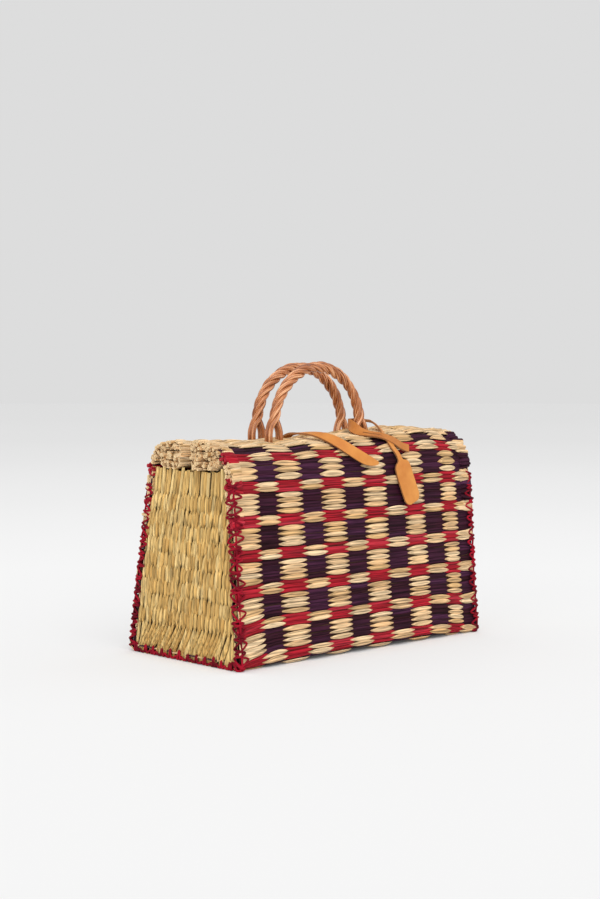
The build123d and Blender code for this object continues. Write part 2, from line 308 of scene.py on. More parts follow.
def reeds(name, pieces, at, steps, sides, seed, plump=0.9, whole=False, lean=0.25, tilt=0.0):
    """One mesh of many reed floats, which at() places from along, row and out.

    Each of the pieces is its middle, half length, row, width, rise, thickness,
    face, and whether it is cut at its low and at its high end. The tone is the
    reed's own tint, how near its tip is (for the painted shade on tips), 1 or 2
    on a cut end, and the painted shade in its folds and along its sides.
    """
    chance = np.random.default_rng(seed)
    columns_of_pieces = np.array(pieces, float).T
    middle, half, row, width, rise, thick, face, low, high = (c[:, None, None] for c in columns_of_pieces)
    count = len(pieces)
    fluted = sides > 8 and not whole
    t = np.linspace(-1, 1, steps)[None, :, None] + 0 * middle
    way_round = np.linspace(0, math.tau if whole else math.pi, sides)[None, None, :]
    tip = np.where(((t < 0) & (low > 0)) | ((t > 0) & (high > 0)), 0.35 * t, t)
    full = np.maximum(np.maximum(1 - np.abs(tip) ** 2.4, 0) ** plump, 0.08)
    bow = chance.normal(0, 0.28, (count, 1, 1)) * (1 - t * t)
    bend = bow + chance.normal(tilt, lean, (count, 1, 1)) * t
    size = 1 + chance.normal(0, 0.05, (count, 1, 1))
    ribs = stem_folds(chance, count, sides, fluted)
    ragged = np.where(t < 0, low, high) * np.abs(t) ** 8
    x = middle + half * t + np.sign(t) * ragged * chance.uniform(-1.2, 1.6, (count, 1, 1))
    s = row + bend + width / 2 * full * size * np.cos(way_round)
    crown = thick * full ** 0.7 * size * np.sin(way_round) * ribs
    out = face * (rise * (1 - tip ** 4) - 0.2 * tip ** 6 + crown)
    base = np.where(face > 0, -0.2, -3.2)
    grid = at(x + 0 * way_round, s, out + base)
    number = np.arange(count * steps * sides).reshape(count, steps, sides)
    corners = number[:, :-1, :-1], number[:, :-1, 1:], number[:, 1:, 1:], number[:, 1:, :-1]
    quads = np.stack(corners, axis=-1)
    flip = face[:, 0, 0] < 0
    quads[flip] = quads[flip][..., ::-1]
    tone = np.ones((count, steps, sides, 4))
    tone[..., 0] = chance.random((count, 1, 1))
    tone[..., 1] = np.abs(tip)
    tone[..., 2] = 0
    # painted shade in the tone's alpha: dark in the folds between stems and along the reed's sides, next
    # to its neighbours
    if fluted:
        shade_beside_crown = np.where(np.sin(way_round) < 0.2, 0.3, 1)
        tone[..., 3] = np.clip(ribs * 1.9 - 0.9, 0.25, 1) * shade_beside_crown
    verts = [grid.reshape(-1, 3)]
    tones = [tone.reshape(-1, 4)]
    faces = quads.reshape(-1, 4).tolist()
    for end, next_ring, cut_here in (
        (0, 1, low[:, 0, 0] > 0), (steps - 1, steps - 2, high[:, 0, 0] > 0),
    ):
        if cut_here.any():
            cap = cut_caps(grid, tone, end, next_ring, cut_here, sum(map(len, verts)))
            verts.append(cap[0])
            tones.append(cap[1])
            faces += cap[2]
    mesh = bpy.data.meshes.new(name)
    mesh.from_pydata(np.concatenate(verts).tolist(), [], faces)
    shades = mesh.color_attributes.new("tone", "FLOAT_COLOR", "POINT")
    shades.data.foreach_set("color", np.concatenate(tones).ravel())
    mesh.polygons.foreach_set("use_smooth", [True] * len(mesh.polygons))
    return put_out(name, mesh)


def rush(name, colours, tip_shade_colour, cut_colour, grain, roughness=0.55, streaks=0.45, shine=0.14):
    """Dried rush: a colour for each reed, fine fibres along it, painted shade on the tips where they tuck
    under the next reeds and in the folds between stems, pale cut ends.

    The grain is how fine the fibres are along each axis, and streaks how dark
    the fine lines between them are.
    """
    material, nodes, links = new_material(name)
    surface = nodes["Principled BSDF"]
    surface.inputs["Specular IOR Level"].default_value = shine
    tone = nodes.new("ShaderNodeAttribute")
    tone.attribute_name = "tone"
    parts = nodes.new("ShaderNodeSeparateColor")
    links.new(tone.outputs["Color"], parts.inputs[0])
    ramp = nodes.new("ShaderNodeValToRGB")
    ramp.color_ramp.elements[0].color = (*colours[0], 1)
    ramp.color_ramp.elements[1].color = (*colours[-1], 1)
    for index, colour in enumerate(colours[1:-1], 1):
        stop = ramp.color_ramp.elements.new(index / (len(colours) - 1))
        stop.color = (*colour, 1)
    links.new(parts.outputs["Red"], ramp.inputs["Fac"])
    place = nodes.new("ShaderNodeTexCoord")
    stretch = nodes.new("ShaderNodeMapping")
    stretch.inputs["Scale"].default_value = grain
    fibres = nodes.new("ShaderNodeTexNoise")
    fibres.inputs["Scale"].default_value = 1.0
    fibres.inputs["Detail"].default_value = 3
    links.new(place.outputs["Object"], stretch.inputs["Vector"])
    links.new(stretch.outputs["Vector"], fibres.inputs["Vector"])
    contrast = nodes.new("ShaderNodeMapRange")
    contrast.inputs["From Min"].default_value = 0.35
    contrast.inputs["From Max"].default_value = 0.68
    contrast.inputs["To Min"].default_value = 1 - streaks
    contrast.inputs["To Max"].default_value = 1.12
    links.new(fibres.outputs["Fac"], contrast.inputs["Value"])
    streaked = nodes.new("ShaderNodeVectorMath")
    streaked.operation = "SCALE"
    links.new(ramp.outputs["Color"], streaked.inputs[0])
    links.new(contrast.outputs["Result"], streaked.inputs["Scale"])
    # painted shade on each reed's tips, where they tuck under the next reeds: tip_shade_colour mixed in
    # towards the tips
    painted_tip_shade = nodes.new("ShaderNodeMapRange")
    painted_tip_shade.inputs["From Min"].default_value = 0.7
    painted_tip_shade.inputs["From Max"].default_value = 1.0
    painted_tip_shade.inputs["To Max"].default_value = 0.75
    links.new(parts.outputs["Green"], painted_tip_shade.inputs["Value"])
    tip = nodes.new("ShaderNodeMix")
    tip.data_type = "RGBA"
    tip.inputs["B"].default_value = (*tip_shade_colour, 1)
    links.new(painted_tip_shade.outputs["Result"], tip.inputs["Factor"])
    # painted shade from the tone's alpha: darker in the folds between stems and along each reed's sides,
    # next to its neighbours
    groove_shaded = nodes.new("ShaderNodeVectorMath")
    groove_shaded.operation = "SCALE"
    groove_shade = nodes.new("ShaderNodeMapRange")
    groove_shade.inputs["To Min"].default_value = 0.2
    groove_shade.inputs["To Max"].default_value = 1.0
    links.new(tone.outputs["Alpha"], groove_shade.inputs["Value"])
    links.new(streaked.outputs["Vector"], groove_shaded.inputs[0])
    links.new(groove_shade.outputs["Result"], groove_shaded.inputs["Scale"])
    links.new(groove_shaded.outputs["Vector"], tip.inputs["A"])
    ends = nodes.new("ShaderNodeValToRGB")
    ends.color_ramp.elements[0].position = 0.5
    ends.color_ramp.elements[0].color = (*cut_colour, 1)
    ends.color_ramp.elements[1].color = tuple(c * 0.6 for c in cut_colour) + (1,)
    links.new(worked_out(material.node_tree, "MULTIPLY", parts.outputs["Blue"], 0.5), ends.inputs["Fac"])
    cut = nodes.new("ShaderNodeMix")
    cut.data_type = "RGBA"
    links.new(parts.outputs["Blue"], cut.inputs["Factor"])
    links.new(tip.outputs["Result"], cut.inputs["A"])
    links.new(ends.outputs["Color"], cut.inputs["B"])
    links.new(cut.outputs["Result"], surface.inputs["Base Color"])
    worn = nodes.new("ShaderNodeMapRange")
    worn.inputs["To Min"].default_value = roughness - 0.1
    worn.inputs["To Max"].default_value = roughness + 0.15
    links.new(fibres.outputs["Fac"], worn.inputs["Value"])
    links.new(worn.outputs["Result"], surface.inputs["Roughness"])
    relief = nodes.new("ShaderNodeBump")
    relief.inputs["Strength"].default_value = 0.6
    relief.inputs["Distance"].default_value = 0.0008
    links.new(fibres.outputs["Fac"], relief.inputs["Height"])
    links.new(relief.outputs["Normal"], surface.inputs["Normal"])
    return material


along_bag = (30, 700, 700)
straw = rush(
    "natural_rush",
    [(0.74, 0.46, 0.20), (0.87, 0.56, 0.29), (0.91, 0.63, 0.35), (0.96, 0.71, 0.43), (0.88, 0.58, 0.30)],
    (0.38, 0.19, 0.07), (0.88, 0.64, 0.36), along_bag, streaks=0.55,
)
red_dye = rush(
    "red_rush",
    [(0.34, 0.005, 0.014), (0.53, 0.012, 0.030), (0.43, 0.008, 0.020), (0.62, 0.034, 0.060)],
    (0.26, 0.004, 0.012), (0.45, 0.02, 0.04), along_bag, streaks=0.55,
)
purple_dye = rush(
    "purple_rush",
    [(0.036, 0.007, 0.012), (0.060, 0.014, 0.036), (0.044, 0.008, 0.019), (0.085, 0.022, 0.062)],
    (0.020, 0.007, 0.016), (0.10, 0.05, 0.07), along_bag, streaks=0.6, shine=0.07,
)

column_edges = [-160, -130.5, -105.7, -75.5, -48, -21, 6.5, 35, 64, 90, 119, 138, 160]
columns = list(zip(column_edges, column_edges[1:]))
band_pitch, red_band_s = 30, 81.5
colours = "natural", "red", "purple"
shown_overlap = {"natural": 3.9, "red": 5.0, "purple": 5.5}
shown_rise = {"natural": 1.6, "red": 0.15, "purple": 0.0}
shown_thickness = {"natural": 1.35, "red": 1.05, "purple": 0.95}
hidden_overlap, hidden_rise, hidden_thickness = 2.0, 0.4, 1.3
extra_width = {"natural": 0.1, "red": 0.0, "purple": 0.0}
plumpness = {"natural": 1.05, "red": 0.3, "purple": 0.3}
first_band = math.floor((mat_ends[0] - red_band_s) / band_pitch)
last_band = math.floor((mat_ends[1] - red_band_s) / band_pitch)

# each row is its set, its place round the mat, its width, and whether it is in
# a red band; the two sets show over every other column
rows = []
for band in range(first_band, last_band + 1):
    middle_s = red_band_s + band_pitch * band
    between_s = middle_s + band_pitch / 2
    rows += [(0, middle_s + k * 3.75, 3.75, True) for k in (-1, 0, 1)]
    rows += [(1, middle_s + k * 4.5, 4.6, True) for k in (-0.5, 0.5)]
    on_fold = 234 < between_s < 261
    row_places = (-6.3, 0, 6.3) if on_fold else (-7.05, -2.35, 2.35, 7.05)
    rows += [(0, between_s + k, 18.8 / len(row_places), False) for k in row_places]
    rows += [(1, between_s + k * 5.25, 5.25, False) for k in (-1.5, -0.5, 0.5, 1.5)]
rows = [row for row in rows if mat_ends[0] + 2.5 < row[1] < mat_ends[1] - 2.5]
first_plain_s, last_plain_s = -264, 279
purple_corner_s = 268, 280


def reed_colour(set_of_rows, s, in_red_band):
    """Colour of a row: plain and red bands in one set, purple and plain bands in the other."""
    if s > last_plain_s or s < first_plain_s:
        return "natural"
    if set_of_rows == 0:
        return "red" if in_red_band else "natural"
    return "natural" if in_red_band else "purple"


colour_reeds = {colour: [] for colour in colours}
hidden_reeds = {colour: [] for colour in colours}
for set_of_rows, s, row_width, in_red_band in rows:
    for index, (left, far_side) in enumerate(columns):
        shown = index % 2 == set_of_rows
        at_left_end, at_right_end = index == 0, index == len(columns) - 1
        colour = reed_colour(set_of_rows, s, in_red_band)
        if at_left_end and set_of_rows == 0 and purple_corner_s[0] < s < purple_corner_s[1]:
            colour = "purple"
        over = shown_overlap[colour] if shown else hidden_overlap
        first_x = left - (0 if at_left_end else over)
        last_x = far_side + (0 if at_right_end else over)
        reed = (
            (first_x + last_x) / 2, (last_x - first_x) / 2, s, row_width + extra_width[colour],
            shown_rise[colour] if shown else hidden_rise,
            shown_thickness[colour] if shown else hidden_thickness,
            1 if shown else -1, at_left_end, at_right_end,
        )
        (colour_reeds if shown else hidden_reeds)[colour].append(reed)

for colour, material, node, slot_name, seed in (
    ("natural", straw, "mat", "rush", 11),
    ("red", red_dye, "red_reeds", "red_rush", 12),
    ("purple", purple_dye, "purple_reeds", "purple_rush", 13),
):
    plump = plumpness[colour]
    outside = reeds(f"{colour}_rush_reeds", colour_reeds[colour], on_mat, 11, 11, seed, plump)
    inside = reeds(f"{colour}_rush_reeds_inside", hidden_reeds[colour], on_mat, 6, 5, seed + 10, plump)
    for piece in (outside, inside):
        piece.data.materials.append(material)
        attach(piece, "root")
    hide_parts(node)

# The cut ends of the mat's reeds: whole round reeds that show end on where the
# flaps and their rolled edges stop, a little ragged and open like a brush.

stub_pitch, stub_width = 3.2, 3.9
stub_from, stub_reach = 145, 160.4
flap_edge_s = 262
ragged_flap, ragged_wall = 2.2, 0.8
back_flap_s = np.arange(mat_ends[0] + 1, -196, stub_pitch)
front_flap_s = np.arange(198, mat_ends[1] - 1, stub_pitch)
for colour, material, slot_name, seed in (
    ("natural", straw, "rush", 51),
    ("red", red_dye, "red_rush", 52),
    ("purple", purple_dye, "purple_rush", 53),
):
    chance = np.random.default_rng(seed)
    stubs = []
    for side in (-1, 1):
        for s in np.concatenate((back_flap_s, front_flap_s)):
            in_red_band = abs((s - red_band_s + band_pitch / 2) % band_pitch - band_pitch / 2) < 6
            if reed_colour(0 if side < 0 else 1, s, in_red_band) != colour:
                continue
            for out in (-3.9, -1.3, 1.5):
                reach = stub_reach + chance.normal(0, ragged_flap if abs(s) > flap_edge_s else ragged_wall)
                stubs.append((
                    side * (reach + stub_from) / 2, (reach - stub_from) / 2,
                    s + chance.normal(0, 0.6), stub_width,
                    out + chance.normal(0, 0.4), chance.uniform(1.5, 2.1), 1, side < 0, side > 0,
                ))
    ends_of_reeds = reeds(f"{colour}_reed_ends", stubs, on_mat, 5, 8, seed, 0.3, whole=True, lean=0.9)
    ends_of_reeds.data.materials.append(material)
    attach(ends_of_reeds, "root")

# The core of the mat: the bundled reeds and strings that lie hidden between
# the outer and the inner floats, coloured dark brown as painted shade, so that they show only as shaded
# lines between them.

core_x = np.linspace(-158.5, 158.5, 34)
core_s = np.arange(mat_ends[0] + 3, mat_ends[1] - 3, 2.5)
core_heights = -0.7, -2.7
core_mesh = bpy.data.meshes.new("mat_core")
core_points = []
core_faces = []
for height in core_heights:
    grid = on_mat(core_x[None, :] + 0 * core_s[:, None], core_s[:, None] + 0 * core_x[None, :], height)
    number = len(core_points) + np.arange(grid[..., 0].size).reshape(grid.shape[:2])
    corners = number[:-1, :-1], number[:-1, 1:], number[1:, 1:], number[1:, :-1]
    core_points += grid.reshape(-1, 3).tolist()
    core_faces += np.stack(corners, axis=-1).reshape(-1, 4).tolist()
core_mesh.from_pydata(core_points, [], core_faces)
mat_core = put_out("mat_core", core_mesh)
# shaded_rush is painted shade: a dark brown for the hidden cores, seen only in the gaps between the reeds
shaded_rush = rush(
    "shaded_rush", [(0.10, 0.05, 0.03), (0.14, 0.075, 0.04), (0.09, 0.045, 0.03)],
    (0.08, 0.04, 0.02), (0.2, 0.12, 0.06), along_bag, roughness=0.8,
)
core_mesh.materials.append(shaded_rush)
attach(mat_core, "root")
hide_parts("mat")

# The two end mats: plain golden rush running up, woven on strings that run
# across, so that the reeds show in even bands with a long row at top and foot.

foot_z, band_foot, band_top, rim_z = 0.9, 31.0, 149.0, 172.6
band_edges = [foot_z] + list(np.linspace(band_foot, band_top, 10)) + [rim_z]
end_reed_pitch = 5.2
shown_over, hidden_over = 5.2, 2
end_line_x = 157.2
tuft_pitch, foot_lean, lowest_foot_z = 11, 11, 0.5
mat_reach_y = 80
end_core_x, end_core_rows = 156.5, 18
front_corner_y, back_corner_y = -73.5, 75.0
front_top_y, back_top_y, top_z = -60.0, 42.5, 183
up_bag = (700, 700, 30)
end_straw = rush(
    "golden_rush",
    [(0.64, 0.38, 0.115), (0.76, 0.48, 0.16), (0.82, 0.55, 0.20), (0.90, 0.65, 0.28), (0.74, 0.46, 0.15)],
    (0.50, 0.29, 0.08), (0.74, 0.50, 0.20), up_bag, streaks=0.6,
)


def end_edge(z):
    """Front and back edge of an end mat at a height."""
    heights = [0, top_z]
    front = np.interp(z, heights, [front_corner_y, front_top_y])
    return front, np.interp(z, heights, [back_corner_y, back_top_y])


def reed_place(y, z):
    """Where a reed stands that is y from the middle at mid height: closer to the others higher up."""
    front_edge, back_edge = end_edge(z)
    share = (back_edge - front_edge) / (back_corner_y - front_corner_y)
    return (front_edge + back_edge) / 2 + y * (0.62 + 0.38 * share)


for end_name, side in (("left", -1), ("right", 1)):
    def on_end(z, y, out, side=side):
        """Point of this end mat in metres, from millimetres up, across and out."""
        z = z + 0 * y
        # the feet of the reeds are gathered in tufts and lean towards the back
        tufted = ease((20 - z) / 16)
        y = y + tufted * 0.3 * ((np.floor(y / tuft_pitch) + 0.5) * tuft_pitch - y)
        across = reed_place(y, z)
        inner = ease((across - end_edge(z)[0] - 5) / 14) * ease((end_edge(z)[1] - 5 - across) / 14)
        across = across + inner * foot_lean * ease((32 - z) / 30)
        across = across + inner * 1.0 * np.sin(z * 0.05 + y * 0.07)
        across = np.clip(across, end_edge(z)[0] - 1.5, end_edge(z)[1] + 1.5)
        z = np.maximum(z, lowest_foot_z)
        x = side * (end_line_x + out) + 0 * across
        x = x + side * 1.2 * np.sin(np.clip(z, 0, 174) / 174 * math.pi) * np.cos(across * 0.02)
        return np.stack((x, across, z), axis=-1) / 1000

    chance = np.random.default_rng(41 + side)
    outer, inner = [], []
    for set_of_rows in (0, 1):
        first_y = -mat_reach_y + end_reed_pitch / 2 * set_of_rows
        for y in np.arange(first_y, mat_reach_y, end_reed_pitch):
            for band, (low_z, high_z) in enumerate(zip(band_edges, band_edges[1:])):
                foot, rim = band == 0, band == len(band_edges) - 2
                middle_z = (low_z + high_z) / 2
                front_edge, back_edge = end_edge(middle_z)
                if not front_edge - 0.5 < reed_place(y, middle_z) < back_edge + 0.5:
                    continue
                shown = set_of_rows == 0 if foot or rim else band % 2 == set_of_rows
                over = shown_over if shown else hidden_over
                first_z = low_z + chance.normal(0, 0.7 if foot else 1.4) - (0 if foot else over)
                last_z = high_z + chance.normal(0, 1.4) + (0 if rim else over)
                reed = (
                    (first_z + last_z) / 2, (last_z - first_z) / 2, y + chance.normal(0, 0.35),
                    chance.uniform(4.2, 4.9) if shown else 5.4, 0.7 if foot or rim else 1.4,
                    chance.uniform(1.7, 2.2), 1 if shown else -1, foot, rim,
                )
                (outer if shown else inner).append(reed)
    for made, layer, steps, sides, plump in (
        ("end_mat_reeds", outer, 11, 7, 1.15), ("end_mat_reeds_inside", inner, 5, 4, 0.7),
    ):
        name = f"{end_name}_{made}"
        piece = reeds(name, layer, on_end, steps, sides, 31 + side, plump, lean=0.5, tilt=-1.3)
        piece.data.materials.append(end_straw)
        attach(piece, "root")
        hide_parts(f"{end_name}_end_mat")
    # a flat backing behind each end mat in the same painted shade, seen only in the gaps between its reeds
    backing = bpy.data.meshes.new(f"{end_name}_end_core")
    heights = np.linspace(foot_z + 2, rim_z - 3, end_core_rows)
    edges = [(side * end_core_x / 1000, end_edge(z)[k] / 1000, z / 1000) for z in heights for k in (0, 1)]
    strips = [(2 * k, 2 * k + 1, 2 * k + 3, 2 * k + 2) for k in range(end_core_rows - 1)]
    backing.from_pydata(edges, [], strips)
    core = put_out(f"{end_name}_end_core", backing)
    backing.materials.append(shaded_rush)
    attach(core, "root")
    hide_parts(f"{end_name}_end_mat")

# The lacing: dark red cord sewn in crosses round the foot and the two sloped
# edges of each end mat, so that it holds the mat's cut ends to the end mat.


def tube(name, points, radius, sides=8, taper=None):
    """Round rod or cord along the points, in metres."""
    points = np.array(points, float)
    tangent = np.gradient(points, axis=0)
    tangent /= np.linalg.norm(tangent, axis=1)[:, None]
    normal = np.cross(tangent[0], (0.3, 0.5, 0.81))
    rings = []
    for index, (point, way_on) in enumerate(zip(points, tangent)):
        normal = normal - way_on * (normal @ way_on)
        normal /= np.linalg.norm(normal)
        other = np.cross(way_on, normal)
        angle = np.linspace(0, 2 * math.pi, sides, endpoint=False)[:, None]
        thick = radius * (taper[index] if taper is not None else 1)
        rings.append(point + thick * (np.cos(angle) * normal + np.sin(angle) * other))
    verts = np.concatenate(rings).tolist()
    faces = []
    for ring in range(len(points) - 1):
        for k in range(sides):
            a, b = ring * sides + k, ring * sides + (k + 1) % sides
            faces.append((a, b, b + sides, a + sides))
    faces.append(tuple(range(sides - 1, -1, -1)))
    faces.append(tuple(range(len(verts) - sides, len(verts))))
    mesh = bpy.data.meshes.new(name)
    mesh.from_pydata(verts, [], faces)
    mesh.polygons.foreach_set("use_smooth", [True] * len(mesh.polygons))
    return put_out(name, mesh)


def smooth_line(stations, count):
    """Even curve through stations of any numbers."""
    stations = np.array(stations, float)
    padded = np.concatenate(([2 * stations[0] - stations[1]], stations, [2 * stations[-1] - stations[-2]]))
    found = []
    for a, b, c, d in zip(padded, padded[1:], padded[2:], padded[3:]):
        for t in np.linspace(0, 1, count, endpoint=False):
            second, third = 2 * a - 5 * b + 4 * c - d, 3 * b - a - 3 * c + d
            found.append(0.5 * (2 * b + (c - a) * t + second * t * t + third * t ** 3))
    return np.array(found + [stations[-1]])


cord_red, nodes, links = new_material("red_cord")
surface = nodes["Principled BSDF"]
surface.inputs["Roughness"].default_value = 0.7
surface.inputs["Specular IOR Level"].default_value = 0.1
place = nodes.new("ShaderNodeTexCoord")
patches = nodes.new("ShaderNodeTexNoise")
patches.inputs["Scale"].default_value = 90
threads = nodes.new("ShaderNodeTexNoise")
threads.inputs["Scale"].default_value = 1400
dye = nodes.new("ShaderNodeValToRGB")
dye.color_ramp.elements[0].position = 0.35
dye.color_ramp.elements[0].color = (0.12, 0.003, 0.010, 1)
dye.color_ramp.elements[1].position = 0.65
dye.color_ramp.elements[1].color = (0.36, 0.006, 0.022, 1)
relief = nodes.new("ShaderNodeBump")
relief.inputs["Strength"].default_value = 0.7
relief.inputs["Distance"].default_value = 0.0004
links.new(place.outputs["Object"], patches.inputs["Vector"])
links.new(place.outputs["Object"], threads.inputs["Vector"])
links.new(patches.outputs["Fac"], dye.inputs["Fac"])
links.new(dye.outputs["Color"], surface.inputs["Base Color"])
links.new(threads.outputs["Fac"], relief.inputs["Height"])
links.new(relief.outputs["Normal"], surface.inputs["Normal"])

cord_radius = 0.98
last_stitch = 19
lowest_cord_z = 1.15
foot_s = 74
end_x = 160
over_end, round_corner = 0.9, 0.6


def cord_place(side, in_from_end, s, out):
    """Point of the cord on the mat, so far in from the mat's end."""
    return on_mat(np.array(side * (end_x - in_from_end)), np.array(s), np.array(out))


def sewn_strand(chance, side, strand):
    """Stitches in turn on the wall and on the end mat, crossing the corner between them."""
    stations = []
    for stitch in range(-2 * last_stitch, 2 * last_stitch + 1):
        s = stitch * stitch_pitch / 2 + chance.normal(0, 0.7)
        if (stitch + strand) % 2 == 0:
            reach = chance.uniform(6, 10) if strand == 0 else chance.uniform(3.5, 7)
            stations.append(cord_place(side, reach, s, 2.5))
        else:
            short = abs(s) < foot_s and strand
            reach = chance.uniform(1, 2) if short else chance.uniform(4.5, 7)
            stations.append(cord_place(side, -over_end, s, -reach))
        past_corner = round_corner + 0.4 * strand
        stations.append(cord_place(side, -past_corner, s + stitch_pitch / 4, 2.2 + 0.5 * strand))
    return smooth_line(stations[:-1], 5)


def running_strand(chance, side):
    """The cord that runs along the corner, drawn a little to and fro by the stitches."""
    edge_run = np.arange(-last_stitch * stitch_pitch, last_stitch * stitch_pitch, 3.0)
    wave = 0.9 * np.sin(edge_run * 0.5) + chance.normal(0, 0.25, len(edge_run))
    stations = [cord_place(side, 0.8 - 0.5 * w, s, 2.2 + 0.4 * w) for s, w in zip(edge_run, wave)]
    return smooth_line(stations, 2)


for end_name, side, seed in (("left", -1, 5), ("right", 1, 6)):
    chance = np.random.default_rng(seed)
    strands = [sewn_strand(chance, side, strand) for strand in (0, 1)] + [running_strand(chance, side)]
    for strand, points in enumerate(strands):
        points[:, 2] = np.maximum(points[:, 2], lowest_cord_z / 1000)
        piece = tube(f"{end_name}_lacing_cord_{strand + 1}", points, cord_radius / 1000, 7)
        piece.data.materials.append(cord_red)
        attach(piece, "root")
        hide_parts(f"{end_name}_lacing")

# The two handles: each of four peeled and boiled willow rods twisted into one
# arch, whose ends part into two feet pushed through the rolled edge of a flap.

willow, nodes, links = new_material("willow")
surface = nodes["Principled BSDF"]
surface.inputs["Specular IOR Level"].default_value = 0.45
rod = nodes.new("ShaderNodeAttribute")
rod.attribute_name = "rod"
grain = nodes.new("ShaderNodeMapping")
grain.inputs["Scale"].default_value = (0.35, 2.6, 2.6)
fibres = nodes.new("ShaderNodeTexNoise")
fibres.inputs["Scale"].default_value = 1.0
fibres.inputs["Detail"].default_value = 4
place = nodes.new("ShaderNodeTexCoord")
clouds = nodes.new("ShaderNodeTexNoise")
clouds.inputs["Scale"].default_value = 55
bark = nodes.new("ShaderNodeValToRGB")
bark.color_ramp.elements[0].position = 0.38
bark.color_ramp.elements[0].color = (0.17, 0.045, 0.012, 1)
bark.color_ramp.elements[1].position = 0.62
bark.color_ramp.elements[1].color = (0.84, 0.45, 0.23, 1)
middle_bark = bark.color_ramp.elements.new(0.5)
middle_bark.color = (0.46, 0.155, 0.050, 1)
both = nodes.new("ShaderNodeMix")
both.inputs["Factor"].default_value = 0.2
relief = nodes.new("ShaderNodeBump")
relief.inputs["Strength"].default_value = 0.5
relief.inputs["Distance"].default_value = 0.0003
gloss = nodes.new("ShaderNodeMapRange")
gloss.inputs["To Min"].default_value = 0.2
gloss.inputs["To Max"].default_value = 0.42
links.new(rod.outputs["Vector"], grain.inputs["Vector"])
links.new(grain.outputs["Vector"], fibres.inputs["Vector"])
links.new(place.outputs["Object"], clouds.inputs["Vector"])
links.new(fibres.outputs["Fac"], both.inputs["A"])
links.new(clouds.outputs["Fac"], both.inputs["B"])
links.new(both.outputs["Result"], bark.inputs["Fac"])
links.new(bark.outputs["Color"], surface.inputs["Base Color"])
links.new(fibres.outputs["Fac"], relief.inputs["Height"])
links.new(relief.outputs["Normal"], surface.inputs["Normal"])
links.new(fibres.outputs["Fac"], gloss.inputs["Value"])
links.new(gloss.outputs["Result"], surface.inputs["Roughness"])

arch_radius, leg_height = 57.2, 7
handle_run = 2 * leg_height + math.pi * arch_radius
handle_foot_z, rod_end_z = 203.5, 191.0
rod_radius, rod_ring = 2.28, 3.1
rod_turns = 4.5
rod_stations, rod_sides = 190, 14
twist_from, part_over = 8, 17
foot_apart_along, foot_apart_deep = 6.6, 2.3


def handle_place(distance):
    """Middle line of a handle: along the bag, up, and the way out of the arch."""
    arc = (distance - leg_height) / arch_radius
    if arc < 0:
        return -arch_radius, distance, (-1, 0)
    if arc > math.pi:
        return arch_radius, handle_run - distance, (1, 0)
    out_way = -math.cos(arc), math.sin(arc)
    return arch_radius * out_way[0], leg_height + arch_radius * out_way[1], out_way


for handle_name, middle_x, depth, seed in (
    ("front_handle", -10.5, -20.35, 3), ("back_handle", -4.0, 11.35, 4),
):
    chance = np.random.default_rng(seed)
    for strand in range(4):
        own_angle = (strand + 0.5) / 4
        points = []
        wander = chance.uniform(0, 6.3, 3)
        for distance in np.linspace(0, handle_run, rod_stations):
            along, up, out_way = handle_place(distance)
            parted = 1 - float(ease(min(distance, handle_run - distance) / part_over))
            share = (distance - twist_from) / (handle_run - 2 * twist_from)
            turned = float(ease(share) * 0.12 + np.clip(share, 0, 1) * 0.88)
            angle = 2 * math.pi * (own_angle - rod_turns * turned)
            foot = 2 * math.pi * (own_angle - (0 if distance < handle_run / 2 else rod_turns))
            outward = (
                math.copysign(foot_apart_along, math.cos(foot)) * parted
                + rod_ring * math.cos(angle) * (1 - parted)
                + 0.35 * math.sin(distance * 0.05 + wander[0])
            )
            deep = (
                math.copysign(foot_apart_deep, math.sin(foot)) * parted
                + rod_ring * math.sin(angle) * (1 - parted)
            )
            points.append((
                middle_x + along + outward * out_way[0],
                depth + deep + 0.35 * math.sin(distance * 0.06 + wander[1]),
                handle_foot_z + up + outward * out_way[1],
            ))
        first, last = points[0], points[-1]
        points = [(*first[:2], rod_end_z), *points, (*last[:2], rod_end_z)]
        thickness = 1 + 0.05 * np.sin(np.linspace(0, 9, len(points)) + wander[2])
        name = f"{handle_name}_rod_{strand + 1}"
        piece = tube(name, np.array(points) / 1000, rod_radius / 1000, rod_sides, thickness)
        lengthwise = np.repeat(np.arange(len(points)) * handle_run / rod_stations / 10, rod_sides)
        round_it = np.tile(np.linspace(0, 2 * math.pi, rod_sides, endpoint=False), len(points))
        grain_place = np.stack(
            (lengthwise + strand * 7.3, np.cos(round_it), np.sin(round_it) + strand * 3), axis=-1,
        )
        along_rod = piece.data.attributes.new("rod", "FLOAT_VECTOR", "POINT")
        along_rod.data.foreach_set("vector", grain_place.ravel())
        piece.data.materials.append(willow)
        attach(piece, "root")
        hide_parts(f"{handle_name}_strand_{strand + 1}")

# The closing strap: a strip of vegetable-tanned leather that comes up through
# the slit between the flaps and lies over the front flap.


